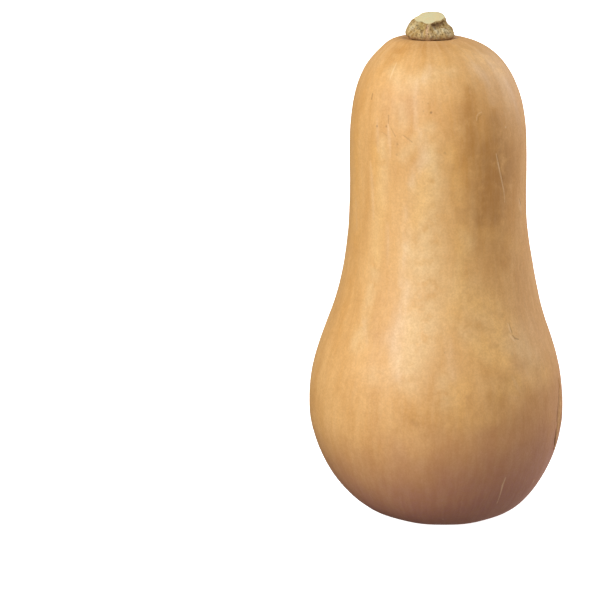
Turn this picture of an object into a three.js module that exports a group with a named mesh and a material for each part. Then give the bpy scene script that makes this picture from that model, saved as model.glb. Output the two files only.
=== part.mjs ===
// A whole butternut squash that stands upright on its blossom end: a long neck above a round bulb, and on the
// crown the short, cut stem that it hung from. Lengths are in millimetres, and +Z is up. The origin is on the
// surface that the squash stands on, under the middle of the bulb. The front faces -Y, and +X is to the right.

import {
  CubicBezierCurve,
  Group,
  LatheGeometry,
  LineCurve,
  MathUtils,
  Mesh,
  MeshStandardMaterial,
  Vector2,
} from "three";

// The fruit's outline: each size is a radius, or a height above the surface that it stands on.
const BULB_RADIUS = 61.4;
const BULB_HEIGHT = 51;
const WAIST_RADIUS = 41.6;
const WAIST_HEIGHT = 167;
const NECK_RADIUS = 41.6;
const NECK_HEIGHT = 181.4;
const CROWN_HEIGHT = 230.5;
const CROWN_RADIUS = 13.8;
const SEAT_RADIUS = 10.8;
const SEAT_HEIGHT = 229.7;
const FLAT_OUTER_RADIUS = 22.7;
const FLAT_INNER_RADIUS = 13;
const DIMPLE_RADIUS = 5;
const DIMPLE_DEPTH = 1.5;
const SCAR_RADIUS = 3.6;
const SCAR_DEPTH = 0.7;

// How far each stretch of the outline holds its direction before it bends.
const UNDERSIDE_HANDLE = 27.7;
const BULB_LOWER_HANDLE = 13.8;
const BULB_UPPER_HANDLE = 45;
const WAIST_HANDLE = 77.5;
const NECK_HANDLE = 6;
const DOME_HANDLE = 39.8;
const CROWN_HANDLE = 6;

// The fruit isn't quite straight, nor quite round.
const FOOT_LEAN = 3.1;
const FOOT_LEAN_TOP = 70;
const CROWN_LEAN = new Vector2(-3, -1);
const CROWN_LEAN_START = 110;
const DEPTH_SHARE = 0.985;
const RIB_COUNT = 10;
const RIB_HEIGHT = 0.28;
const RIB_FADE = 42;

// The stem: a flared foot with five lobes, and a stub that was cut off on a slope.
const STEM_CENTRE = new Vector2(-5.7, -0.6);
const FOOT_FLAT_RADIUS = 9.6;
const FOOT_RADIUS = 10.4;
const CUT_WIDTH = 13.3;
const CUT_DEPTH = 12.4;
const CUT_HEIGHT = 239.4;
const CUT_RISE_BACK = 0.31;
const CUT_RISE_RIGHT = 0.09;
const FOOT_CURL = 0.18;
const LOBE_FADE = 0.85;

const FRUIT_SEGMENTS = 72;
const STEM_SEGMENTS = 60;

// Directions are turns round the fruit in degrees: 0 is the front, 90 the right and -90 the left.
const HOLLOWS = [
  { direction: 90, height: 11.5, depth: 0.95, width: 26, reach: 11.5 },
  { direction: -90, height: 194, depth: 0.45, width: 24, reach: 14 },
  { direction: 90, height: 148, depth: 0.48, width: 24, reach: 16 },
  { direction: 90, height: 119, depth: -0.8, width: 26, reach: 15 },
  { direction: 28, height: 138, depth: 0.55, width: 13, reach: 42 },
  { direction: 52, height: 74, depth: 0.45, width: 12, reach: 9 },
  { direction: 60, height: 52, depth: -0.35, width: 12, reach: 8 },
  { direction: -24, height: 88, depth: -0.5, width: 20, reach: 22 },
  { direction: -55, height: 120, depth: 0.5, width: 16, reach: 26 },
  { direction: 140, height: 60, depth: 0.9, width: 24, reach: 24 },
  { direction: -145, height: 84, depth: -0.8, width: 26, reach: 26 },
  { direction: 172, height: 150, depth: 0.7, width: 22, reach: 34 },
];

// Each lobe of the stem's foot, and how far it stands out at the foot and up the flank.
const LOBES = [
  { direction: -4, width: 12, foot: 1.4, flank: 1.3 },
  { direction: -70, width: 32, foot: 0.9, flank: 2.1 },
  { direction: 66, width: 32, foot: 2.0, flank: 1.9 },
  { direction: 135, width: 22, foot: 1.3, flank: 1.0 },
  { direction: -146, width: 24, foot: 1.3, flank: 1.1 },
];
const FURROW_DIRECTION = -36;
const FURROW_WIDTH = 13;
const FURROW_DEPTH = 0.9;
const NOTCH_DIRECTION = 62;
const NOTCH_WIDTH = 46;
const NOTCH_DEPTH = 1.7;
const NOTCH_LEVEL = 0.74;
const NOTCH_SPREAD = 0.13;
const FULL_SIDE_DIRECTION = -80;
const FULLEST = 3.4;
const LEANEST = 1.4;

// 1 in a feature's own direction, falling smoothly to 0 away from it.
function nearDirection(angle, direction, width) {
  const front = -Math.PI / 2;
  const away = angle - front - MathUtils.degToRad(direction);
  const turned = Math.atan2(Math.sin(away), Math.cos(away));
  return Math.exp(-((turned / MathUtils.degToRad(width)) ** 2));
}

// A closed surface of rings: each point of the profile is one ring, and place puts each vertex where it goes.
function ringedGeometry(profile, segments, place) {
  const geometry = new LatheGeometry(profile, segments);
  const position = geometry.getAttribute("position");
  for (let index = 0; index < position.count; index++) {
    const ring = index % profile.length;
    const segment = Math.floor(index / profile.length) % segments;
    const angle = (2 * Math.PI * segment) / segments;
    position.setXYZ(index, ...place(profile[ring], angle, ring));
  }
  geometry.computeVertexNormals();
  return geometry;
}

// The fruit's half outline, from the blossom scar up to the middle of the stem's seat.
function fruitProfile() {
  const at = (radius, height) => new Vector2(radius, height);
  const underside = new CubicBezierCurve(
    at(FLAT_OUTER_RADIUS, 0),
    at(FLAT_OUTER_RADIUS + UNDERSIDE_HANDLE, 0),
    at(BULB_RADIUS, BULB_HEIGHT - BULB_LOWER_HANDLE),
    at(BULB_RADIUS, BULB_HEIGHT),
  );
  const shoulder = new CubicBezierCurve(
    at(BULB_RADIUS, BULB_HEIGHT),
    at(BULB_RADIUS, BULB_HEIGHT + BULB_UPPER_HANDLE),
    at(WAIST_RADIUS, WAIST_HEIGHT - WAIST_HANDLE),
    at(WAIST_RADIUS, WAIST_HEIGHT),
  );
  const neck = new CubicBezierCurve(
    at(WAIST_RADIUS, WAIST_HEIGHT),
    at(WAIST_RADIUS, WAIST_HEIGHT + NECK_HANDLE),
    at(NECK_RADIUS, NECK_HEIGHT - NECK_HANDLE),
    at(NECK_RADIUS, NECK_HEIGHT),
  );
  const dome = new CubicBezierCurve(
    at(NECK_RADIUS, NECK_HEIGHT),
    at(NECK_RADIUS, NECK_HEIGHT + DOME_HANDLE),
    at(CROWN_RADIUS + CROWN_HANDLE, CROWN_HEIGHT),
    at(CROWN_RADIUS, CROWN_HEIGHT),
  );
  const seatEdge = new LineCurve(at(CROWN_RADIUS, CROWN_HEIGHT), at(SEAT_RADIUS, SEAT_HEIGHT));
  const seat = new LineCurve(at(SEAT_RADIUS, SEAT_HEIGHT), at(0, SEAT_HEIGHT));
  return [
    at(0, SCAR_DEPTH),
    at(SCAR_RADIUS, SCAR_DEPTH),
    at(DIMPLE_RADIUS, DIMPLE_DEPTH),
    at((DIMPLE_RADIUS + FLAT_INNER_RADIUS) / 2, DIMPLE_DEPTH / 2),
    at(FLAT_INNER_RADIUS, 0),
    ...underside.getSpacedPoints(14),
    ...shoulder.getSpacedPoints(15).slice(1),
    ...neck.getSpacedPoints(2).slice(1),
    ...dome.getSpacedPoints(12).slice(1),
    ...seatEdge.getSpacedPoints(2).slice(1),
    ...seat.getSpacedPoints(2).slice(1),
  ];
}

// How far the fruit's middle line stands from the Z axis at a height. Within the seat's edge it meets the stem.
function middleLine(radius, height) {
  const foot = FOOT_LEAN * Math.max(0, 1 - height / FOOT_LEAN_TOP) ** 2;
  const share = Math.max(0, height - CROWN_LEAN_START) / (CROWN_HEIGHT - CROWN_LEAN_START);
  const middle = CROWN_LEAN.clone().multiplyScalar(share ** 2);
  middle.x += foot;
  if (height > WAIST_HEIGHT) {
    const nearSeat = 1 - MathUtils.smoothstep(radius, CROWN_RADIUS, 2 * CROWN_RADIUS);
    middle.lerp(STEM_CENTRE, nearSeat);
  }
  return middle;
}

// How far faint ribs and shallow hollows move the fruit's side, outwards where positive.
function fruitRelief(radius, height, angle) {
  const nearEnd = Math.max(1 - height / RIB_FADE, 1 - (CROWN_HEIGHT - height) / RIB_FADE, 0);
  const awayFromFlats = MathUtils.smoothstep(radius, FLAT_OUTER_RADIUS, 1.5 * FLAT_OUTER_RADIUS);
  const rib = RIB_HEIGHT * nearEnd * Math.cos(RIB_COUNT * angle);
  const hollow = HOLLOWS.reduce((sum, { direction, height: middle, depth, width, reach }) => {
    const upAndDown = Math.exp(-(((height - middle) / reach) ** 2));
    return sum + depth * nearDirection(angle, direction, width) * upAndDown;
  }, 0);
  return awayFromFlats * (rib - hollow);
}

function fruitGeometry() {
  return ringedGeometry(fruitProfile(), FRUIT_SEGMENTS, ({ x: radius, y: height }, angle) => {
    const middle = middleLine(radius, height);
    const reach = radius + fruitRelief(radius, height, angle);
    return [middle.x + reach * Math.cos(angle), middle.y + DEPTH_SHARE * reach * Math.sin(angle), height];
  });
}

// The stem's rings run from the middle of its flat underside, up the flank, and in over the cut.
function stemProfile() {
  const at = (share, level) => new Vector2(share, level);
  const flank = [0.05, 0.11, 0.18, 0.26, 0.35, 0.44, 0.53, 0.61, 0.68, 0.74, 0.8, 0.86, 0.92, 0.97];
  return [
    at(0, 0),
    at(0.5, 0),
    at(1, 0),
    ...flank.map((level) => at(1, level)),
    at(1, 1),
    at(0.62, 1),
    at(0.3, 1),
    at(0, 1),
  ];
}

// The stem's reach from its own middle line, at a level from 0 at the seat to 1 at the cut's edge.
function stemReach(level, angle) {
  const cut = 0.5 / Math.hypot(Math.cos(angle) / CUT_WIDTH, Math.sin(angle) / CUT_DEPTH);
  const fullness = MathUtils.lerp(LEANEST, FULLEST, nearDirection(angle, FULL_SIDE_DIRECTION, 50));
  const inward = level ** fullness;
  const curl = MathUtils.lerp(FOOT_FLAT_RADIUS, FOOT_RADIUS, MathUtils.smoothstep(level, 0, FOOT_CURL));
  const lobes = LOBES.reduce((sum, { direction, width, foot, flank }) => {
    const swell = MathUtils.lerp(foot, flank, level) * MathUtils.smoothstep(level, 0, FOOT_CURL);
    return sum + swell * (1 - LOBE_FADE * level ** 2) * nearDirection(angle, direction, width);
  }, 0);
  const bump = Math.exp(-(((level - NOTCH_LEVEL) / NOTCH_SPREAD) ** 2));
  const notch = NOTCH_DEPTH * bump * nearDirection(angle, NOTCH_DIRECTION, NOTCH_WIDTH);
  const furrowLevel = Math.sin(Math.PI * Math.min(1, level * 1.05));
  const furrow = FURROW_DEPTH * furrowLevel * nearDirection(angle, FURROW_DIRECTION, FURROW_WIDTH);
  return MathUtils.lerp(curl, cut, inward) + lobes - notch - furrow;
}

function stemGeometry() {
  return ringedGeometry(stemProfile(), STEM_SEGMENTS, ({ x: share, y: level }, angle) => {
    const reach = share * stemReach(level, angle);
    const x = reach * Math.cos(angle);
    const y = reach * Math.sin(angle);
    const cutHere = CUT_HEIGHT + CUT_RISE_RIGHT * x + CUT_RISE_BACK * y;
    return [STEM_CENTRE.x + x, STEM_CENTRE.y + y, MathUtils.lerp(SEAT_HEIGHT, cutHere, level)];
  });
}

function subPart(name, geometry, color, roughness) {
  const mesh = new Mesh(geometry, new MeshStandardMaterial({ color, roughness, metalness: 0 }));
  mesh.name = name;
  return mesh;
}

const squash = new Group();
squash.add(subPart("fruit", fruitGeometry(), 0xd9a968, 0.5));
squash.add(subPart("stem", stemGeometry(), 0xb39a68, 0.85));

export default squash;
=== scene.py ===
import math

import bmesh
import bpy
import numpy
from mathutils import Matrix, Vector, noise


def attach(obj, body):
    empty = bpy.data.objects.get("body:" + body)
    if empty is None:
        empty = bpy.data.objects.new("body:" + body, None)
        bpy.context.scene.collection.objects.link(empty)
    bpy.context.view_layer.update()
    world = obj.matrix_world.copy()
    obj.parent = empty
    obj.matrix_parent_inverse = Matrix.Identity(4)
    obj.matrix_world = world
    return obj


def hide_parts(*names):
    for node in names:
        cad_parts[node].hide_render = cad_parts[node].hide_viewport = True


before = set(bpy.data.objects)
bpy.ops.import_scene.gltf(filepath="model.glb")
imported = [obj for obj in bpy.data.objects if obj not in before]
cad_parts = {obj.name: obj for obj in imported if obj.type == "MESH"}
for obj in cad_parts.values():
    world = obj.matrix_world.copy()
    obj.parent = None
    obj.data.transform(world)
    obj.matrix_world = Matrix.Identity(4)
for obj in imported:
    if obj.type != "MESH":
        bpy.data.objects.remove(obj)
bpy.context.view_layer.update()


# The studio: a plain pale floor that doesn't light the squash from below, a soft box high on the left, a
# weaker one that comes round the right side, a faint one in front, and one behind for the back of the fruit.
def screen(red, green, blue):
    """A colour given as 0 to 255 on a screen, in the shaders' own values."""
    shares = [value / 255 for value in (red, green, blue)]
    return tuple(s / 12.92 if s < 0.04045 else ((s + 0.055) / 1.055) ** 2.4 for s in shares)


def add_node(tree, kind, sockets=None, **settings):
    """A shader node with its settings, each input given a value or joined to another node's output."""
    made = tree.nodes.new(kind)
    for name, value in settings.items():
        setattr(made, name, value)
    for socket, source in (sockets or {}).items():
        if isinstance(source, bpy.types.NodeSocket):
            tree.links.new(source, made.inputs[socket])
        else:
            made.inputs[socket].default_value = source
    return made


def new_material(name):
    """A material whose tree holds only its Principled shader, joined to the output."""
    material = bpy.data.materials.new(name)
    material.use_nodes = True
    material.node_tree.nodes.clear()
    shader = add_node(material.node_tree, "ShaderNodeBsdfPrincipled")
    add_node(material.node_tree, "ShaderNodeOutputMaterial", {"Surface": shader.outputs["BSDF"]})
    return material, shader


def ramp(tree, value, start, end, kind="SMOOTHSTEP"):
    """A share that goes from 0 to 1 while the value goes from start to end."""
    sockets = {"Value": value, "From Min": start, "From Max": end}
    return add_node(tree, "ShaderNodeMapRange", sockets, interpolation_type=kind).outputs[0]


def blend_colours(tree, share, below, above):
    """The two colours mixed by a share. A colour may be a socket or three values."""
    sockets = {0: share}
    for socket, colour in ((6, below), (7, above)):
        sockets[socket] = colour if isinstance(colour, bpy.types.NodeSocket) else (*colour, 1)
    return add_node(tree, "ShaderNodeMix", sockets, data_type="RGBA").outputs[2]


def softbox(name, turn, height, distance, width, length, watts, colour):
    """A soft light aimed at the middle of the squash, turned in degrees from its front to its right."""
    middle = Vector((0, 0, 0.115))
    turn, height = math.radians(turn), math.radians(height)
    away = Vector((math.sin(turn) * math.cos(height), -math.cos(turn) * math.cos(height), math.sin(height)))
    light = bpy.data.lights.new(name, "AREA")
    light.shape = "RECTANGLE"
    light.size = width
    light.size_y = length
    light.energy = watts
    light.color = colour
    lamp = bpy.data.objects.new(name, light)
    lamp.location = middle + distance * away
    lamp.rotation_euler = away.to_track_quat("Z", "Y").to_euler()
    bpy.context.scene.collection.objects.link(lamp)
    return lamp


softbox("softbox_left", -50, 22, 1.4, 1.2, 0.9, 19.5, (1.0, 0.99, 0.98))
softbox("softbox_right", 114, 30, 1.4, 1.5, 1.3, 16, (1.0, 0.99, 0.98))
softbox("softbox_front", -10, 24, 1.4, 1.4, 0.9, 6.6, (1.0, 1.0, 1.0))
softbox_behind = softbox("softbox_behind", -165, 28, 1.8, 1.6, 1.6, 12, (1.0, 0.99, 0.98))
softbox_behind.visible_glossy = False

# The light from below comes from the right alone, as off a white table that is in shade on the left.
world = bpy.data.worlds.new("studio")
bpy.context.scene.world = world
world.use_nodes = True
room = world.node_tree
room.nodes.clear()
way = add_node(room, "ShaderNodeTexCoord").outputs["Generated"]
upward = add_node(room, "ShaderNodeSeparateXYZ", {"Vector": way}).outputs["Z"]
sky_share = ramp(room, upward, -0.45, 0.05, "LINEAR")
rightward = add_node(
    room, "ShaderNodeVectorMath", {0: way, 1: (0.92, 0.38, 0)}, operation="DOT_PRODUCT"
).outputs["Value"]
table_share = ramp(room, rightward, 0.1, 0.8, "LINEAR")
table = blend_colours(room, table_share, (0.018, 0.012, 0.014), (1.05, 0.79, 0.66))
around = blend_colours(room, sky_share, table, (0.13, 0.13, 0.133))
sky = add_node(room, "ShaderNodeBackground", {"Color": around})
add_node(room, "ShaderNodeOutputWorld", {"Surface": sky.outputs["Background"]})

bpy.ops.object.select_all(action="DESELECT")
bpy.ops.mesh.primitive_plane_add(size=16, location=(0, 0, 0))
floor = bpy.context.object
floor.name = "floor"
floor.visible_diffuse = False
floor.visible_glossy = False
floor.visible_shadow = False
floor_paint, floor_shader = new_material("pale_floor")
floor_shader.inputs["Base Color"].default_value = (0.9, 0.9, 0.9, 1)
floor_shader.inputs["Roughness"].default_value = 1.0
floor_shader.inputs["Emission Color"].default_value = (1, 1, 1, 1)
floor_shader.inputs["Emission Strength"].default_value = 1.0
floor_paint.cycles.emission_sampling = "NONE"
floor.data.materials.append(floor_paint)

camera_data = bpy.data.cameras.new("camera")
camera_data.sensor_width = 36
camera_data.lens = 120
camera = bpy.data.objects.new("camera", camera_data)
camera.location = (-0.06562, -0.92536, 0.35230)
camera.rotation_euler = (math.radians(90 - 15), 0, 0)
bpy.context.scene.collection.objects.link(camera)
bpy.context.scene.camera = camera
bpy.context.scene.view_settings.view_transform = "Standard"


# The rind: the hard skin of the fruit, grown in one piece with the flesh below it. It keeps the fruit's own
# outline, with shallow swells and hollows, fine healed scratches, and one long corky scar low on the right.
def edit(piece):
    """Opens a piece in edit mode with nothing selected."""
    bpy.ops.object.select_all(action="DESELECT")
    piece.select_set(True)
    bpy.context.view_layer.objects.active = piece
    bpy.ops.object.mode_set(mode="EDIT")
    bpy.ops.mesh.select_all(action="DESELECT")
    bpy.ops.mesh.select_mode(type="FACE")


def done():
    bpy.ops.object.mode_set(mode="OBJECT")


def copy_of_solid(node, name):
    """A new piece with a solid's shape, its loose triangles merged and joined back into four-sided faces."""
    piece = bpy.data.objects.new(name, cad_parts[node].data.copy())
    piece.data.name = name
    piece.data.materials.clear()
    bpy.context.scene.collection.objects.link(piece)
    edit(piece)
    bpy.ops.mesh.select_all(action="SELECT")
    bpy.ops.mesh.remove_doubles(threshold=0.000005)
    bpy.ops.mesh.customdata_custom_splitnormals_clear()
    bpy.ops.mesh.tris_convert_to_quads(face_threshold=math.radians(50), shape_threshold=math.radians(50))
    done()
    return piece


def finish_modifier(piece, modifier):
    bpy.ops.object.select_all(action="DESELECT")
    piece.select_set(True)
    bpy.context.view_layer.objects.active = piece
    bpy.ops.object.modifier_apply(modifier=modifier.name)


def refine(piece, levels):
    """Rounds a piece by subdivision."""
    modifier = piece.modifiers.new("refine", "SUBSURF")
    modifier.levels = levels
    modifier.render_levels = levels
    finish_modifier(piece, modifier)


def places_of(elements, name):
    """The places of a mesh's vertices or the middles of its faces, as rows of millimetres."""
    places = numpy.empty(3 * len(elements))
    elements.foreach_get(name, places)
    return 1000 * places.reshape(-1, 3)


def smooth_step(values, low, high):
    share = numpy.clip((values - low) / (high - low), 0, 1)
    return share * share * (3 - 2 * share)


def on_surface(piece, turn, height, middle=(0, 0)):
    """The point of a piece at a height, a turn in degrees from the front to the right of an upright line."""
    turn = math.radians(turn)
    outward = Vector((math.sin(turn), -math.cos(turn), 0))
    start = Vector((*middle, height)) / 1000 + 0.2 * outward
    hit, place, _, _ = piece.ray_cast(start, -outward)
    assert hit
    return 1000 * place


def nearness(places, points, reaches):
    """1 on a chain of points, falling straight to 0 where the chain's own reach ends, all in millimetres."""
    if len(points) == 1:
        points, reaches = points * 2, reaches * 2
    nearest = numpy.zeros(len(places))
    for start, end, reach, next_reach in zip(points, points[1:], reaches, reaches[1:]):
        whole = numpy.array(end - start)
        from_start = places - numpy.array(start)
        share = numpy.clip(from_start @ whole / max(whole @ whole, 1e-6), 0, 1)
        gap = numpy.linalg.norm(from_start - share[:, None] * whole, axis=1)
        nearest = numpy.maximum(nearest, 1 - gap / (reach + (next_reach - reach) * share))
    return nearest


def mask_of(piece, chains, middle=(0, 0), wider=0.0, places=None):
    """How strongly each vertex belongs to the chains. Each has a strength, then turn, height, reach rows."""
    if places is None:
        places = places_of(piece.data.vertices, "co")
    mask = numpy.zeros(len(places))
    for strength, *chain in chains:
        points = [on_surface(piece, turn, height, middle) for turn, height, _ in chain]
        near = nearness(places, points, [reach + wider for _, _, reach in chain])
        mask = numpy.maximum(mask, strength * smooth_step(near, 0, 1))
    return mask


def displace(piece, mask, height, **settings):
    """Moves the surface by a height in millimetres, as far as the mask says."""
    group = piece.vertex_groups.new(name="moved")
    for index in numpy.flatnonzero(mask > 0.001):
        group.add([int(index)], float(mask[index]), "REPLACE")
    modifier = piece.modifiers.new("displace", "DISPLACE")
    modifier.strength = height / 1000
    modifier.vertex_group = group.name
    for name, value in settings.items():
        setattr(modifier, name, value)
    finish_modifier(piece, modifier)
    piece.vertex_groups.clear()


def raise_by(piece, mask, height):
    """Moves the surface out where the mask is 1. A height below 0 sinks it."""
    displace(piece, mask, height, mid_level=0)


def roughen(piece, mask, grain_size, height):
    """Moves the surface in and out by a smooth cloud pattern."""
    clouds = bpy.data.textures.new(f"{piece.name}_clouds", "CLOUDS")
    clouds.noise_scale = grain_size / 1000
    displace(piece, mask, height, texture=clouds, texture_coords="LOCAL")


def refine_faces(piece, chosen, cuts):
    """Cuts the chosen faces into smaller ones that still follow the curve."""
    edit(piece)
    shape = bmesh.from_edit_mesh(piece.data)
    shape.faces.ensure_lookup_table()
    for index in numpy.flatnonzero(chosen):
        shape.faces[int(index)].select_set(True)
    bpy.ops.mesh.subdivide(number_cuts=cuts, smoothness=1.0)
    done()


def paint(piece, name, mask):
    """Keeps a mask with the mesh, for the piece's material to read."""
    layer = piece.data.attributes.new(name, "FLOAT", "POINT")
    layer.data.foreach_set("value", mask)


# The middle of the stem and the height of the crown that it stands on, in millimetres.
STEM_MIDDLE = (-5.7, -0.6)
CROWN_HEIGHT = 230.0

# Each row of these tables is a chain of points that each have a turn, a height and a reach. What comes first
# is a height in millimetres for swells and hollows, and a strength for the marks and patches.
RIND_SWELLS = [
    (0.28, (21, 74, 9)),
    (0.28, (35, 83, 7)),
    (0.30, (35, 64, 8)),
    (0.30, (50, 71, 8)),
    (0.35, (40, 77, 4)),
    (0.35, (62, 170, 7)),
    (0.35, (61, 152, 4)),
    (0.25, (5, 120, 22)),
    (0.30, (160, 90, 20)),
    (0.30, (-130, 150, 18)),
]
RIND_HOLLOWS = [
    (0.55, (-60, 227, 15)),
    (0.30, (33, 73, 6)),
    (0.30, (46, 81, 7)),
    (0.25, (28, 90, 8)),
    (0.30, (43, 66, 6)),
    (0.30, (62, 158, 5)),
    (0.22, (-14, 62, 8)),
    (0.20, (15, 198, 10)),
    (0.15, (-38, 192, 9)),
    (0.30, (120, 190, 20)),
    (0.35, (-120, 70, 18)),
]
# Pale scratches. Some stand on small ridges, and there the pale line is in part a painted highlight on the
# lit side.
PALE_SCRATCHES_AND_HIGHLIGHTS = [
    (0.7, (-44.4, 221.6, 0.3), (-44.2, 218.5, 0.6), (-44.0, 214.6, 0.3)),
    (0.8, (34.6, 182, 0.3), (36.5, 177.1, 0.6), (39.7, 169.9, 0.5), (42.2, 163.8, 0.4), (43.2, 158.5, 0.3)),
    (0.5, (20.4, 197.6, 0.3), (20.6, 199.4, 0.5), (22.0, 200.6, 0.5), (24.6, 201.2, 0.4)),
    (0.7, (44.0, 193.1, 0.9)),
    (0.7, (31.4, 32.0, 0.4), (30.8, 27.5, 0.75), (31.3, 23.0, 0.6), (32.2, 16.8, 0.35)),
    (0.6, (55.0, 24.4, 0.5), (55.0, 22.8, 0.5)),
    (0.6, (38.3, 97.9, 0.5), (39.2, 96.4, 0.6), (40.4, 95.2, 0.4)),
    (0.5, (38.0, 103.4, 0.4), (38.9, 99.4, 0.6)),
    (0.7, (60.8, 157.4, 0.6), (62.0, 155.6, 0.6)),
    (0.6, (60.8, 153.0, 0.6), (62.0, 150.9, 0.5)),
    (0.5, (2.2, 9.1, 0.8)),
    (0.4, (-10.7, 6.5, 0.8)),
    (0.8, (130, 150, 0.4), (131, 145, 0.7), (133, 138, 0.4)),
    (0.7, (-128, 96, 0.4), (-124, 95, 0.7), (-120, 92, 0.4)),
    (0.7, (165, 70, 0.5), (163.5, 61, 0.8), (163, 52, 0.4)),
    (0.8, (-160, 180, 0.4), (-158, 171, 0.6)),
]
# Dark specks, and dark lines just right of some raised scratches: painted shade on the far side of those
# ridges.
DARK_MARKS_AND_SHADE = [
    (0.9, (-10.1, 201.6, 0.85)),
    (0.7, (-47.3, 193.6, 0.9)),
    (0.6, (-40.0, 194.1, 0.85)),
    (0.55, (-56.2, 207.4, 0.6), (-55.8, 205.2, 0.8)),
    (0.30, (-22.4, 208.0, 0.7)),
    (0.30, (-16.3, 206.1, 0.6)),
    (0.35, (-12.4, 205.6, 0.6)),
    (0.30, (-15.0, 202.1, 0.6)),
    (0.30, (-0.7, 183.7, 1.0)),
    (0.35, (-27.4, 190.9, 0.4), (-24.0, 189.4, 0.6), (-21.5, 188.2, 0.5)),
    (0.30, (-36.4, 193.6, 0.4), (-33.0, 190.2, 0.6)),
    (0.40, (-38.9, 199.0, 0.7), (-38.6, 195.6, 0.5)),
    (0.35, (-31.2, 186.7, 1.1)),
    (0.25, (-31.5, 181.9, 0.9)),
    (0.25, (-42.8, 191.3, 0.5), (-39.2, 190.0, 0.6)),
    (0.35, (35.6, 181.0, 0.4), (37.8, 176.6, 0.5), (40.9, 169.6, 0.4)),
    (0.35, (21.4, 196.9, 0.4), (21.9, 199.0, 0.5), (24.4, 200.2, 0.4)),
    (0.55, (61.6, 158.2, 0.4), (62.8, 156.2, 0.8), (63.6, 154.6, 0.4)),
    (0.45, (61.8, 152.6, 0.5), (63.0, 150.4, 0.6)),
    (0.45, (39.1, 103.4, 0.3), (39.9, 99.0, 0.6)),
    (0.60, (39.7, 97.9, 0.4), (41.0, 96.3, 0.75), (43.2, 95.6, 0.5)),
    (0.30, (0.3, 93.5, 0.7)),
    (0.18, (-13.7, 62.8, 2.0), (-11.7, 60.9, 2.2)),
    (0.25, (37.0, 90.0, 1.2)),
    (0.7, (142, 118, 0.8)),
    (0.5, (-152, 120, 0.5), (-151, 112, 0.6)),
    (0.7, (112, 182, 0.8)),
    (0.5, (-100, 140, 0.7)),
]
# The long corky scar, and the dark lines along and inside it.
CORK = [
    (1.0, (74, 70, 0.6), (73.6, 64, 1.8), (72.6, 59.5, 3.2), (70.6, 54.5, 4.2), (68.6, 48.5, 4.0),
     (67.6, 42.5, 2.2), (68.6, 36.5, 0.6)),
]
CRACKS = [
    (0.9, (71.6, 66, 0.3), (69.6, 61, 0.7), (66.6, 55.5, 0.8), (65.4, 51.5, 0.4)),
    (0.8, (69.6, 54.5, 0.3), (70.2, 50.5, 0.8), (69.8, 46, 0.4)),
    (0.9, (77, 63, 0.4), (77.2, 57, 1.0), (74.6, 50.5, 0.8), (71.5, 45, 0.4)),
    (0.8, (64.8, 48, 0.3), (65.4, 43.5, 0.7), (68.0, 38, 0.4)),
]
BROWN_MOTTLES = [
    (1.0, (17, 211, 5), (15.6, 199, 7), (17, 192.5, 7), (15.3, 183.4, 5)),
    (0.5, (34.7, 218, 3), (33.9, 213, 3)),
    (0.5, (5.6, 176, 5), (10.4, 181, 5)),
    (1.0, (28, 186, 6), (31.5, 172, 10), (32, 158, 8)),
    (0.6, (22, 150, 6), (24, 138, 6)),
    (0.35, (-42, 193, 5), (-34, 188, 5)),
    (0.7, (21.4, 73.8, 4.5)),
    (0.5, (37, 87, 5), (42, 84, 4)),
    (0.5, (30, 80, 5), (26, 66, 5)),
    (0.5, (52, 78, 6), (56, 66, 5)),
    (0.45, (40, 60, 9), (20, 56, 8)),
    (0.4, (-16, 64, 7), (-8, 58, 7)),
    (0.6, (-60, 227, 6), (-20, 228, 7), (20, 228, 7), (50, 226, 5)),
    (0.5, (150, 170, 9), (158, 130, 8)),
    (0.5, (-110, 110, 9), (-100, 80, 8)),
    (0.5, (100, 120, 8), (104, 100, 9)),
]
# Pale streaks; on the front left they are in part painted highlight.
PALE_STREAKS_AND_HIGHLIGHTS = [
    (0.8, (-47.6, 197, 0.9), (-46.4, 190, 1.8), (-45.3, 182, 1.0)),
    (0.7, (-38.8, 195, 0.8), (-37.0, 188, 1.6), (-36.0, 181, 0.8)),
    (0.6, (-52, 176, 0.8), (-50.6, 164, 1.8), (-49.5, 150, 0.9)),
    (0.4, (-70.8, 160, 0.8), (-69, 152, 1.7), (-67.5, 143, 0.8)),
    (0.6, (-37.6, 150, 0.9), (-37.0, 141, 1.8), (-36.6, 130, 0.9)),
    (0.7, (-25.4, 158, 2.0), (-25.4, 143, 4.2), (-26.2, 122, 2.4)),
    (0.8, (-22.0, 124, 3.0), (-23.0, 110, 5.5), (-26, 98, 7.5), (-21, 82, 5.0)),
    (0.5, (-48.5, 104, 1.0), (-44.0, 98, 2.0), (-41.0, 93, 1.0)),
    (0.8, (-13.6, 220.5, 3.4), (-16.3, 215.5, 3.0)),
    (0.6, (-22, 215, 2.0), (-20, 204, 3.0), (-19, 194, 2.0)),
    (0.8, (-15.6, 193, 3.0), (-13.6, 181, 4.5), (-18.4, 176, 4.5), (-21.5, 169, 3.0)),
    (0.55, (26.5, 220.5, 4.0), (35.1, 213.8, 5.0), (35.5, 205, 3.4)),
    (0.35, (56, 214, 4.0), (60, 206, 5.0), (62, 190, 4.0)),
    (0.5, (2, 99, 3.0), (3, 91, 5.0), (4, 82, 3.5)),
    (0.6, (34.4, 80, 0.8), (36.2, 76.3, 1.8), (38.3, 72.3, 0.8)),
    (0.6, (43.8, 82, 1.0), (45.5, 78.8, 1.3)),
    (0.4, (30.0, 71.4, 0.8), (36.3, 70.7, 0.9)),
    (0.5, (47.2, 49.0, 0.8), (48.8, 43.5, 1.3), (50, 38, 0.7)),
    (0.6, (100, 160, 2.0), (101, 140, 3.0), (102, 120, 2.0)),
    (0.6, (175, 120, 2.0), (172, 95, 4.0), (170, 70, 2.0)),
    (0.6, (-140, 200, 2.0), (-138, 180, 3.5), (-139, 160, 2.0)),
]
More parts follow.
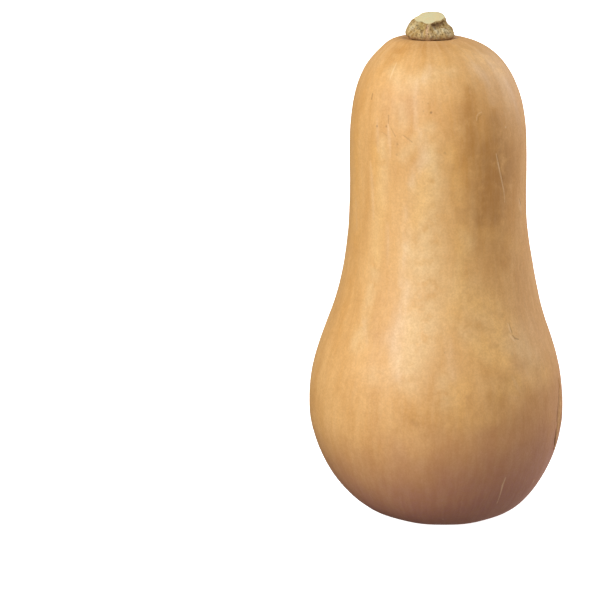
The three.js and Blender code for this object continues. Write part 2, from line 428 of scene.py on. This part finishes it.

# The broad patches of colour: creamy ones, which on the front left are painted light; orange ones; yellow
# painted light;
# and duller brown ones, in part painted shade on the front right.
CREAM_AND_LIGHT_PATCHES = [
    (0.9, (-42, 188, 4), (-42, 174, 6), (-44, 160, 6), (-46, 141, 6), (-46, 122, 6), (-47, 106, 6),
     (-48, 93, 8)),
    (0.8, (-45, 218, 6), (-31, 213, 8), (-13, 217, 7), (5, 219, 5)),
    (0.7, (-32, 203, 5), (-29, 197, 6)),
    (0.8, (-10, 195, 5), (-19, 188, 6), (-27, 181, 5)),
    (0.9, (-20, 168, 5), (-13, 164, 8), (-12, 157, 5)),
    (1.0, (-23, 140, 5), (-19, 133, 9), (-10, 127, 10), (-12, 116, 9), (-18, 108, 8), (-10, 93, 5)),
    (0.7, (11, 146, 5), (16, 142, 5), (6, 125, 6)),
    (0.7, (4, 108, 5), (18, 97, 8), (22, 91, 7)),
    (0.7, (32, 110, 8), (32, 102, 7)),
    (0.7, (10, 120, 14), (28, 104, 16), (42, 92, 16), (52, 78, 12)),
    (0.7, (-1, 83, 6), (1, 72, 8)),
    (0.6, (-35, 81, 8), (27, 77, 7), (39, 76, 6)),
    (1.0, (-9, 184, 9), (-9, 170, 12), (-12, 150, 14), (-12, 125, 16), (-12, 105, 17), (-16, 84, 14)),
    (0.8, (118, 200, 8), (122, 170, 12), (126, 130, 14), (120, 90, 16)),
    (0.8, (-110, 190, 8), (-112, 150, 12), (-118, 110, 16), (-124, 70, 14)),
    (0.7, (178, 190, 7), (-178, 150, 11), (176, 110, 14)),
]
ORANGE_PATCHES = [
    (0.9, (31, 213, 7), (38, 201, 8), (46, 187, 8), (50, 168, 9), (48, 150, 8), (43, 131, 7)),
    (0.8, (12, 204, 6), (15, 195, 8), (20, 180, 8), (35, 170, 10)),
    (0.7, (-22, 206, 5), (-20, 199, 7), (-18, 180, 6)),
    (0.6, (-1, 185, 5), (-2, 162, 6), (-3, 152, 5)),
    (0.1, (-23, 102, 7), (-31, 93, 10)),
    (0.6, (-20, 71, 8), (-9, 64, 8)),
    (0.7, (-66, 92, 10), (-68, 109, 9), (-71, 128, 8), (-70, 150, 9), (-69, 176, 9), (-67, 199, 9),
     (-64, 214, 9)),
    (0.9, (2, 205, 8), (8, 190, 9), (14, 172, 10)),
    (0.8, (22, 206, 9), (28, 190, 10), (32, 172, 11), (36, 150, 10)),
    (0.8, (-9, 204, 8), (-7, 197, 9)),
    (0.8, (-62, 222, 8), (-48, 226, 8), (-66, 212, 8)),
    (0.8, (90, 205, 10), (86, 170, 10), (84, 130, 12)),
    (0.8, (150, 210, 10), (152, 160, 12), (150, 100, 16)),
    (0.8, (-150, 205, 10), (-146, 160, 12), (-150, 100, 18)),
]
# Painted light, in yellow: on the lit front of the bulb and neck, and on the right of the crown.
PAINTED_LIGHT_PATCHES = [
    (0.65, (-47, 183, 5), (-47, 168, 7), (-44, 153, 7), (-45, 131, 5)),
    (0.45, (-70, 190, 9), (-72, 165, 9), (-70, 140, 9)),
    (0.75, (-14, 173, 6), (-13, 162, 8), (-19, 151, 6)),
    (0.75, (2, 185, 5), (7, 171, 5), (9, 160, 5)),
    (0.75, (10, 147, 7), (12, 135, 8), (9, 118, 7), (6, 109, 8)),
    (0.6, (26, 146, 6), (39, 143, 5), (61, 134, 5)),
    (1.0, (16, 116, 10), (27, 112, 12), (35, 104, 12), (21, 95, 11), (30, 88, 9)),
    (0.9, (8, 78, 9), (9, 64, 9), (20, 62, 9)),
    (1.0, (28, 76, 9), (41, 77, 10), (61, 76, 9)),
    (1.0, (59, 56, 8), (58, 38, 9)),
    (1.0, (16, 228, 7), (32, 226.5, 11), (44, 224, 12), (56, 219, 10)),
    (0.8, (110, 180, 7), (108, 140, 9), (106, 100, 10)),
    (0.8, (-160, 185, 7), (-162, 150, 9), (-166, 110, 11)),
]
# Duller brown, in part the rind's own and in part painted shade along the dark band on the front right.
DULL_AND_SHADE_PATCHES = [
    (1.0, (34, 196, 8), (35, 188, 12), (40, 174, 17), (36, 160, 15), (35, 152, 9)),
    (1.0, (26, 184, 9), (27, 172, 13), (26, 160, 13), (24, 153, 8)),
    (0.5, (37, 146, 11), (39, 132, 10)),
    (0.48, (-22, 207, 9), (-31, 200, 9), (-45, 205, 8)),
    (0.55, (12, 202, 8), (15, 194, 9), (20, 180, 8), (22, 160, 7)),
    (0.35, (35, 53, 9), (42, 46, 8)),
    (0.4, (-30, 96, 10), (-40, 100, 10)),
    (0.5, (140, 180, 9), (142, 150, 10)),
    (0.5, (-130, 130, 9), (-132, 90, 12)),
]

rind = copy_of_solid("fruit", "rind")
refine(rind, 2)
rind_heights = places_of(rind.data.vertices, "co")[:, 2]
# The ring that the squash stands on and the flat seat of the stem stay as they are.
rind_free = smooth_step(rind_heights, 1, 8) * (1 - smooth_step(rind_heights, 228.3, 229.3))
raise_by(rind, rind_free * mask_of(rind, RIND_SWELLS), 1)
raise_by(rind, rind_free * mask_of(rind, RIND_HOLLOWS), -1)
roughen(rind, rind_free, 22, 0.40)
roughen(rind, rind_free, 8, 0.13)
rind_middles = places_of(rind.data.polygons, "center")
small_marks = PALE_SCRATCHES_AND_HIGHLIGHTS + DARK_MARKS_AND_SHADE + CORK
refine_faces(rind, mask_of(rind, small_marks, wider=0.9, places=rind_middles) > 0, 4)

scratches_and_highlights = mask_of(rind, PALE_SCRATCHES_AND_HIGHLIGHTS)
specks_and_shade = mask_of(rind, DARK_MARKS_AND_SHADE)
corky = smooth_step(mask_of(rind, CORK), 0.02, 0.40)
cracked = mask_of(rind, CRACKS)
raise_by(rind, scratches_and_highlights, 0.07)
raise_by(rind, specks_and_shade, -0.10)
raise_by(rind, corky, 0.30)
raise_by(rind, cracked, -0.55)
rind_places = places_of(rind.data.vertices, "co")
from_stem = numpy.hypot(rind_places[:, 0] - STEM_MIDDLE[0], rind_places[:, 1] - STEM_MIDDLE[1])
collar = numpy.exp(-(((from_stem - 12.4) / 0.6) ** 2)) * (rind_places[:, 2] > 228)
crown = (1 - smooth_step(from_stem, 13, 30)) * (rind_places[:, 2] > 200)
from_axis = numpy.hypot(rind_places[:, 0], rind_places[:, 1])
blossom_scar = (1 - smooth_step(from_axis, 3.2, 5.4)) * (rind_places[:, 2] < 8)
for name, mask in (
    ("blossom_scar", blossom_scar),
    ("crown", crown),
    ("scratches_and_highlights", scratches_and_highlights),
    ("specks_and_shade", specks_and_shade),
    ("cork", corky),
    ("crack", cracked),
    ("brown", mask_of(rind, BROWN_MOTTLES)),
    ("pale", mask_of(rind, PALE_STREAKS_AND_HIGHLIGHTS)),
    ("cream_and_light", mask_of(rind, CREAM_AND_LIGHT_PATCHES)),
    ("orange", mask_of(rind, ORANGE_PATCHES)),
    ("painted_light", mask_of(rind, PAINTED_LIGHT_PATCHES)),
    ("dull_and_shade", mask_of(rind, DULL_AND_SHADE_PATCHES)),
    ("collar", collar),
):
    paint(rind, name, mask)
bpy.ops.object.shade_smooth()


# Its finish is tan, drawn out along the fruit in soft streaks that meet at the stem and at the blossom end.
# The front left is paler with painted light, the front right browner with some painted shade, and the low
# part of the bulb pinkish brown, partly painted shade.
def new_group(name, inputs, outputs):
    """A shader node group with named sockets, and the nodes that carry its inputs and outputs."""
    group = bpy.data.node_groups.new(name, "ShaderNodeTree")
    for socket, kind in inputs:
        group.interface.new_socket(socket, in_out="INPUT", socket_type=kind)
    for socket, kind in outputs:
        group.interface.new_socket(socket, in_out="OUTPUT", socket_type=kind)
    return group, group.nodes.new("NodeGroupInput").outputs, group.nodes.new("NodeGroupOutput").inputs


def place_group(tree, group, sockets):
    return add_node(tree, "ShaderNodeGroup", sockets, node_tree=group).outputs


def number(tree, operation, first, second=0.0, third=0.0, clamp=False):
    sockets = {0: first, 1: second, 2: third}
    return add_node(tree, "ShaderNodeMath", sockets, operation=operation, use_clamp=clamp).outputs[0]


def vector(tree, operation, first, second=(0, 0, 0)):
    return add_node(tree, "ShaderNodeVectorMath", {0: first, 1: second}, operation=operation).outputs


def both(tree, first, second):
    return number(tree, "MULTIPLY", first, second)


def tinted(tree, below, mask, share, above):
    """A colour with another laid over it by a share, as far as the mask says."""
    return blend_colours(tree, both(tree, mask, share), below, above)


def make_along_group():
    """Coordinates that run along the fruit: a turn round its leaning middle line, and a shortened height."""
    group, given, result = new_group(
        "along_the_fruit",
        [("Place", "NodeSocketVector"), ("Roundness", "NodeSocketFloat"),
         ("Length Share", "NodeSocketFloat")],
        [("Vector", "NodeSocketVector")],
    )
    apart = add_node(group, "ShaderNodeSeparateXYZ", {0: given["Place"]}).outputs
    crown_share = number(group, "POWER", number(group, "DIVIDE", apart["Z"], CROWN_HEIGHT, clamp=True), 4.0)
    across = number(group, "MULTIPLY_ADD", crown_share, -STEM_MIDDLE[0], apart["X"])
    flat = add_node(group, "ShaderNodeCombineXYZ", {"X": across, "Y": apart["Y"]}).outputs[0]
    way = vector(group, "NORMALIZE", flat)[0]
    wide = add_node(group, "ShaderNodeVectorMath", {0: way, "Scale": given["Roundness"]}, operation="SCALE")
    high = number(group, "MULTIPLY", apart["Z"], given["Length Share"])
    lift = add_node(group, "ShaderNodeCombineXYZ", {"Z": high}).outputs[0]
    group.links.new(vector(group, "ADD", wide.outputs[0], lift)[0], result["Vector"])
    return group


def make_patches_group():
    """A mask of soft patches of one size, from where the noise passes Low up to where it reaches High."""
    group, given, result = new_group(
        "patches",
        [("Place", "NodeSocketVector"), ("Size", "NodeSocketFloat"), ("Detail", "NodeSocketFloat"),
         ("Low", "NodeSocketFloat"), ("High", "NodeSocketFloat")],
        [("Mask", "NodeSocketFloat")],
    )
    fineness = number(group, "DIVIDE", 1.0, given["Size"])
    clouds = add_node(
        group,
        "ShaderNodeTexNoise",
        {"Vector": given["Place"], "Scale": fineness, "Detail": given["Detail"], "Roughness": 0.6},
    )
    group.links.new(ramp(group, clouds.outputs[0], given["Low"], given["High"]), result["Mask"])
    return group


along_group = make_along_group()
patches_group = make_patches_group()


def patches(tree, place, size, low, high, detail=2.0):
    sockets = {"Place": place, "Size": size, "Low": low, "High": high, "Detail": detail}
    return place_group(tree, patches_group, sockets)["Mask"]


def along(tree, place, roundness, length_share):
    sockets = {"Place": place, "Roundness": roundness, "Length Share": length_share}
    return place_group(tree, along_group, sockets)["Vector"]


def painted(tree, name):
    """The mask that was painted on the piece's own mesh."""
    return add_node(tree, "ShaderNodeAttribute", attribute_name=name).outputs["Fac"]


def height_mask(tree, place, start, end):
    """A share that goes from 0 to 1 between two heights, in millimetres."""
    apart = add_node(tree, "ShaderNodeSeparateXYZ", {0: place}).outputs
    return ramp(tree, apart["Z"], start, end)


def millimetres(tree):
    """The place on the piece, in millimetres from the origin."""
    here = add_node(tree, "ShaderNodeTexCoord").outputs["Object"]
    return add_node(tree, "ShaderNodeVectorMath", {0: here, "Scale": 1000.0}, operation="SCALE").outputs[0]


def drift(tree, place, size, reach, detail):
    """A place moved about by clouds of one size, so that what is drawn there gets wavering edges."""
    clouds = add_node(tree, "ShaderNodeTexNoise", {"Vector": place, "Scale": 1 / size, "Detail": detail})
    way = vector(tree, "SUBTRACT", clouds.outputs["Color"], (0.5, 0.5, 0.5))[0]
    return vector(tree, "ADD", place, vector(tree, "MULTIPLY", way, (reach,) * 3)[0])[0]


rind_paint, rind_shader = new_material("rind")
rind.data.materials.append(rind_paint)
skin = rind_paint.node_tree
rind_place = millimetres(skin)
wavering = drift(skin, rind_place, 4.0, 2.2, 2.0)
drifting = drift(skin, rind_place, 16.0, 18.0, 3.0)
wide_streaks = along(skin, wavering, 42.0, 0.22)
fine_streaks = along(skin, wavering, 42.0, 0.10)

broad_streaks = patches(skin, wide_streaks, 8.0, 0.32, 0.68, 3.0)
rind_colour = blend_colours(skin, broad_streaks, screen(217, 165, 98), screen(229, 180, 114))
cloudy = patches(skin, wavering, 6.0, 0.22, 0.58, 3.0)
for mask_name, share, colour in (
    ("orange", 0.60, screen(213, 152, 72)),
    # creamy, painted light on the front left
    ("cream_and_light", 0.66, screen(236, 202, 146)),
    # painted light, in yellow
    ("painted_light", 0.60, screen(246, 195, 116)),
    # duller brown, in part painted shade on the front right
    ("dull_and_shade", 0.84, screen(188, 138, 78)),
    ("crown", 0.36, screen(208, 144, 66)),
):
    patch_mask = both(skin, painted(skin, mask_name), cloudy)
    rind_colour = tinted(skin, rind_colour, patch_mask, share, colour)
mottling = patches(skin, drifting, 20.0, 0.42, 0.70, 3.0)
rind_colour = tinted(skin, rind_colour, mottling, 0.20, screen(204, 146, 78))
brown = both(skin, painted(skin, "brown"), patches(skin, wavering, 7.0, 0.20, 0.62, 3.0))
rind_colour = tinted(skin, rind_colour, brown, 0.68, screen(184, 127, 56))
# Pale streaks, in part painted highlight on the front left.
pale = both(skin, painted(skin, "pale"), patches(skin, wide_streaks, 3.2, 0.20, 0.62, 3.0))
rind_colour = tinted(skin, rind_colour, pale, 0.50, screen(240, 210, 170))

# The low part of the bulb turns golden brown, then pinkish brown, from higher up on the right than on the
# left:
# partly the fruit's own colour, partly painted shade.
apart = add_node(skin, "ShaderNodeSeparateXYZ", {0: drifting}).outputs
tilted = number(skin, "MULTIPLY_ADD", apart["X"], -0.25, apart["Z"])
rind_colour = tinted(skin, rind_colour, ramp(skin, tilted, 92.0, 32.0), 0.45, screen(198, 142, 84))
rind_colour = tinted(skin, rind_colour, ramp(skin, tilted, 72.0, 3.0), 0.88, screen(168, 111, 106))
bulb_share = ramp(skin, apart["Z"], 135.0, 95.0)

# Streaks on the crown, a pale ring round the stem, and lengthwise threads, a mottle and a grain all over.
near_crown = height_mask(skin, rind_place, 196.0, 224.0)
crown_streaks = both(skin, patches(skin, fine_streaks, 4.5, 0.45, 0.72), near_crown)
rind_colour = tinted(skin, rind_colour, crown_streaks, 0.25, screen(242, 204, 150))
collar_here = both(skin, painted(skin, "collar"), patches(skin, rind_place, 2.0, 0.30, 0.60))
rind_colour = tinted(skin, rind_colour, collar_here, 0.60, screen(240, 200, 168))
threads = patches(skin, fine_streaks, 1.6, 0.36, 0.66, 3.0)
rind_colour = tinted(skin, rind_colour, threads, 0.07, screen(244, 214, 168))
mottle = patches(skin, wavering, 2.8, 0.36, 0.64, 3.0)
mottle_share = number(skin, "MULTIPLY_ADD", bulb_share, 0.03, 0.12)
rind_colour = tinted(skin, rind_colour, mottle, mottle_share, screen(178, 124, 62))
grain = patches(skin, rind_place, 0.9, 0.38, 0.62)
grain_share = number(skin, "MULTIPLY_ADD", bulb_share, 0.01, 0.16)
rind_colour = tinted(skin, rind_colour, grain, grain_share, screen(174, 120, 60))

# The scratches and the dark marks, with a painted highlight and painted shade on the two sides of some small
# ridges, the corky scar with its cracks, and the blossom scar underneath.
pale_line = both(skin, painted(skin, "scratches_and_highlights"), patches(skin, rind_place, 0.9, 0.25, 0.50))
rind_colour = tinted(skin, rind_colour, pale_line, 0.75, screen(244, 214, 168))
# dark specks, and painted shade beside some raised scratches
rind_colour = tinted(skin, rind_colour, painted(skin, "specks_and_shade"), 0.75, screen(112, 68, 26))
cork_fibre = patches(skin, along(skin, rind_place, 42.0, 0.25), 0.8, 0.35, 0.65, 3.0)
cork_colour = blend_colours(skin, cork_fibre, screen(186, 134, 76), screen(232, 190, 132))
rind_colour = tinted(skin, rind_colour, painted(skin, "cork"), 0.70, cork_colour)
crack_here = both(skin, painted(skin, "crack"), patches(skin, rind_place, 2.0, 0.25, 0.55))
rind_colour = tinted(skin, rind_colour, crack_here, 0.80, screen(96, 62, 36))
scar_here = both(skin, painted(skin, "blossom_scar"), patches(skin, rind_place, 1.2, 0.20, 0.45))
rind_colour = tinted(skin, rind_colour, scar_here, 0.85, screen(122, 92, 58))
skin.links.new(rind_colour, rind_shader.inputs["Base Color"])

rind_gloss = number(skin, "MULTIPLY_ADD", patches(skin, wide_streaks, 3.0, 0.3, 0.7, 3.0), 0.08, 0.46)
rind_gloss = number(skin, "MULTIPLY_ADD", grain, 0.05, rind_gloss)
rind_gloss = number(skin, "MULTIPLY_ADD", painted(skin, "crown"), 0.25, rind_gloss)
rind_gloss = number(skin, "MULTIPLY_ADD", painted(skin, "cork"), 0.35, rind_gloss)
skin.links.new(rind_gloss, rind_shader.inputs["Roughness"])

thread_height = both(skin, patches(skin, fine_streaks, 2.2, 0.3, 0.7, 3.0), 0.025)
mottle_height = number(skin, "MULTIPLY_ADD", mottle, 0.026, thread_height)
grain_height = number(skin, "MULTIPLY_ADD", grain, -0.016, mottle_height)
cork_height = number(skin, "MULTIPLY_ADD", both(skin, cork_fibre, painted(skin, "cork")), 0.15, grain_height)
rind_bump = add_node(skin, "ShaderNodeBump", {"Height": cork_height, "Strength": 0.8, "Distance": 0.001})
skin.links.new(rind_bump.outputs[0], rind_shader.inputs["Normal"])
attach(rind, "root")
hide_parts("fruit")


# The stem: the stub of the woody stalk that the squash hung from. It flares into five corky lobes where it
# meets the crown, and it was cut across on a slope, which shows its pale inside.
CUT_TOP = 239.4
# How much the cut rises for each millimetre to the right, and for each one to the back.
CUT_RISE = (0.09, 0.31)
CUT_SLOPE = Vector((-CUT_RISE[0], -CUT_RISE[1], 1)).normalized()
RIM_RADIUS = 6.5
# Where the cut's rim stands further in than an oval: the turn, then the push and its reach in millimetres.
RIM_PUSHES = [
    (-46, 1.4, 2.4),
    (-30, 0.4, 1.6),
    (28, 1.4, 3.2),
    (62, 0.5, 2.4),
    (-128, 0.9, 2.6),
    (-95, -0.5, 2.0),
]
STEM_SWELLS = [
    (0.45, (-64, 234.6, 3.0)),
    (0.55, (-10, 236.2, 2.0), (-8, 234.0, 2.6), (-4, 231.9, 3.2)),
    (0.50, (48, 233.8, 3.0)),
    (0.40, (20, 233.4, 2.0)),
    (0.5, (-40, 232.0, 1.8)),
    (0.4, (120, 234, 2.5)),
    (0.4, (-150, 234, 2.5)),
]
STEM_FOOT = [(0.4, *[(turn, 230.6, 1.0) for turn in range(-30, 161, 20)])]
STEM_HOLLOWS = [
    (1.5, (-44, 236.7, 2.2), (-33, 235.6, 2.2)),
    (0.7, (-27, 233.4, 1.3), (-25, 231.6, 1.2)),
    (2.0, (7, 236.8, 1.0), (22, 236.0, 2.3), (40, 236.2, 2.4), (60, 237.0, 1.8)),
    (0.3, (6, 233.6, 0.9), (9, 231.6, 1.0)),
    (0.5, (-80, 234.0, 1.0), (-82, 231.5, 1.0)),
    (1.1, (-98, 230.9, 2.0), (-80, 230.6, 2.0), (-62, 230.6, 1.6)),
    (0.6, (72, 231.4, 1.8)),
    (0.9, (96, 236.0, 1.6), (100, 233.0, 1.6)),
    (0.9, (176, 235.6, 1.8), (178, 232.5, 1.6)),
    (0.9, (-112, 235.4, 1.8), (-110, 232.5, 1.6)),
]
# The hollow left of the cut is olive and darkened with painted shade; the gaps between lobes and the notch
# under the cut's rim get painted shade in dark brown.
RECESS_AND_SHADE = [(0.8, (-44, 236.7, 2.4), (-34, 235.4, 2.4))]
GAP_SHADE = [(0.5, (-27, 233.6, 1.4), (-25, 231.4, 1.2)), (0.5, (-82, 234.0, 1.2), (-82, 231.5, 1.0))]
NOTCH_SHADE = [(1.0, (4, 237.0, 1.0), (20, 236.3, 2.2), (38, 236.4, 2.3), (58, 237.3, 1.7))]
PINK_RIDGE = [(1.0, (-12, 236.4, 1.4), (-9, 234.0, 2.0), (-4, 231.2, 2.6))]
# Whitish cork fibres; the first row is a painted highlight on the left lobe.
WHITISH_CORK_AND_HIGHLIGHT = [
    (1.0, (-58.5, 235.4, 2.0)),
    (1.0, (14, 235.0, 1.9), (22, 233.6, 2.0)),
    (0.8, (40, 235.0, 3.0), (50, 233.0, 2.6)),
    (0.7, (-28, 233.2, 1.3), (-24, 231.8, 1.2)),
]

stem = copy_of_solid("stem", "stem_stub")
stem_paint, stem_shader = new_material("stem_cork")
cut_paint, cut_shader = new_material("stem_cut")
stem.data.materials.append(stem_paint)
stem.data.materials.append(cut_paint)
edit(stem)
stem_shape = bmesh.from_edit_mesh(stem.data)
for face in stem_shape.faces:
    face.select_set(face.normal.dot(CUT_SLOPE) > 0.999 and face.calc_center_median().z > 0.2365)
stem.active_material_index = 1
bpy.ops.object.material_slot_assign()
bpy.ops.mesh.region_to_loop()
bpy.ops.transform.edge_crease(value=1.0)
done()
refine(stem, 2)

edit(stem)
bpy.ops.mesh.select_mode(type="VERT")
for turn, push, reach in RIM_PUSHES:
    inward = -Vector((math.sin(math.radians(turn)), -math.cos(math.radians(turn)), 0))
    inward.z = CUT_RISE[0] * inward.x + CUT_RISE[1] * inward.y
    out_of_middle = RIM_RADIUS * Vector((-inward.x, -inward.y))
    rim = Vector((STEM_MIDDLE[0] + out_of_middle.x, STEM_MIDDLE[1] + out_of_middle.y, 0))
    rim.z = CUT_TOP - (CUT_SLOPE.x * out_of_middle.x + CUT_SLOPE.y * out_of_middle.y) / CUT_SLOPE.z
    stem_shape = bmesh.from_edit_mesh(stem.data)
    nearest = min(stem_shape.verts, key=lambda vertex: (1000 * vertex.co - rim).length_squared)
    nearest.select_set(True)
    bpy.ops.transform.translate(
        value=push / 1000 * inward,
        use_proportional_edit=True,
        proportional_edit_falloff="SMOOTH",
        proportional_size=reach / 1000,
    )
    bpy.ops.mesh.select_all(action="DESELECT")
done()

stem_places = places_of(stem.data.vertices, "co")
right_of_middle = stem_places[:, 0] - STEM_MIDDLE[0]
behind_middle = stem_places[:, 1] - STEM_MIDDLE[1]
cut_heights = CUT_TOP + CUT_RISE[0] * right_of_middle + CUT_RISE[1] * behind_middle
below_cut = cut_heights - stem_places[:, 2]
# The flat of the cut and the flat foot on the crown stay as they are.
stem_free = smooth_step(below_cut, 0.05, 0.9) * smooth_step(stem_places[:, 2], 229.8, 230.8)
raise_by(stem, stem_free * mask_of(stem, STEM_SWELLS, STEM_MIDDLE), 1)
raise_by(stem, smooth_step(stem_places[:, 2], 229.75, 230.2) * mask_of(stem, STEM_FOOT, STEM_MIDDLE), 1)
raise_by(stem, stem_free * mask_of(stem, STEM_HOLLOWS, STEM_MIDDLE), -1)
roughen(stem, stem_free, 2.4, 0.7)

stem_places = places_of(stem.data.vertices, "co")
fibres = numpy.zeros(len(stem_places))
for index, (x, y, z) in enumerate(stem_places):
    way = Vector((x - STEM_MIDDLE[0], y - STEM_MIDDLE[1], 0)).normalized()
    bend = 0.5 * noise.noise(Vector((x, y, z)) / 2.0)
    upright = Vector((9 * way.x + bend, 9 * way.y, 0.28 * z)) / 0.75
    fibres[index] = 0.5 + 0.8 * noise.fractal(upright, 0.8, 2.0, 2)
fibres = numpy.clip(fibres, 0, 1)
raise_by(stem, stem_free * fibres, 0.20)
roughen(stem, stem_free, 0.9, 0.45)
for name, chains in (
    ("recess_and_shade", RECESS_AND_SHADE),
    ("gap_shade", GAP_SHADE),
    ("notch_shade", NOTCH_SHADE),
    ("pink_ridge", PINK_RIDGE),
    ("whitish_and_highlight", WHITISH_CORK_AND_HIGHLIGHT),
):
    paint(stem, name, mask_of(stem, chains, STEM_MIDDLE))
paint(stem, "fibres", fibres)
bpy.ops.object.shade_smooth()

cork = stem_paint.node_tree
stem_place = millimetres(cork)
fibre_way = along(cork, stem_place, 10.0, 0.3)
stem_patches = patches(cork, stem_place, 3.2, 0.36, 0.62, 3.0)
stem_colour = blend_colours(cork, stem_patches, screen(168, 132, 70), screen(200, 170, 112))
pink_here = both(cork, painted(cork, "pink_ridge"), patches(cork, fibre_way, 1.4, 0.25, 0.60))
stem_colour = tinted(cork, stem_colour, pink_here, 0.80, screen(208, 168, 136))
# Whitish fibres, with a painted highlight on the left lobe.
whitish_and_highlight = both(cork, painted(cork, "whitish_and_highlight"), patches(cork, fibre_way, 1.2, 0.20, 0.50))
stem_colour = tinted(cork, stem_colour, whitish_and_highlight, 0.90, screen(228, 214, 176))
# The fibre crests are paler and the furrows darker: partly the cork's own colour, partly painted highlight
# and painted shade.
crests_and_highlight = number(cork, "MULTIPLY_ADD", painted(cork, "fibres"), 1.8, -0.75, clamp=True)
stem_colour = tinted(cork, stem_colour, crests_and_highlight, 0.40, screen(226, 210, 164))
furrows_and_shade = number(cork, "MULTIPLY_ADD", painted(cork, "fibres"), -2.4, 0.85, clamp=True)
stem_colour = tinted(cork, stem_colour, furrows_and_shade, 0.60, screen(116, 88, 40))
pits = patches(cork, stem_place, 0.8, 0.50, 0.62)
stem_colour = tinted(cork, stem_colour, pits, 0.70, screen(104, 80, 38))
# The olive hollow darkened with painted shade, and painted shade in the gaps and in the notch under the rim.
for mask_name, share, colour in (
    ("recess_and_shade", 0.65, screen(148, 126, 60)),
    ("gap_shade", 0.80, screen(120, 84, 42)),
    ("notch_shade", 0.85, screen(106, 74, 40)),
):
    stem_colour = tinted(cork, stem_colour, painted(cork, mask_name), share, colour)
# Darker brown at the foot: in part the cork's own, in part painted shade where the stem meets the crown.
foot_drift = drift(cork, stem_place, 2.0, 1.8, 2.0)
foot_and_shade = height_mask(cork, foot_drift, 233.0, 230.0)
stem_colour = tinted(cork, stem_colour, foot_and_shade, 0.85, screen(122, 82, 42))
cork.links.new(stem_colour, stem_shader.inputs["Base Color"])
stem_shader.inputs["Roughness"].default_value = 0.85
speckle = patches(cork, fibre_way, 0.6, 0.40, 0.66)
stem_bump = add_node(cork, "ShaderNodeBump", {"Height": speckle, "Strength": 0.6, "Distance": 0.0002})
cork.links.new(stem_bump.outputs[0], stem_shader.inputs["Normal"])

pith = cut_paint.node_tree
cut_place = millimetres(pith)
cut_patches = patches(pith, cut_place, 3.5, 0.35, 0.65, 3.0)
cut_colour = blend_colours(pith, cut_patches, screen(226, 208, 156), screen(222, 214, 168))
cut_grain = patches(pith, cut_place, 0.5, 0.40, 0.66)
cut_colour = tinted(pith, cut_colour, cut_grain, 0.20, screen(180, 160, 108))
pith.links.new(cut_colour, cut_shader.inputs["Base Color"])
cut_shader.inputs["Roughness"].default_value = 0.8
cut_bump = add_node(pith, "ShaderNodeBump", {"Height": cut_grain, "Strength": 0.4, "Distance": 0.0002})
pith.links.new(cut_bump.outputs[0], cut_shader.inputs["Normal"])
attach(stem, "root")
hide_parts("stem")
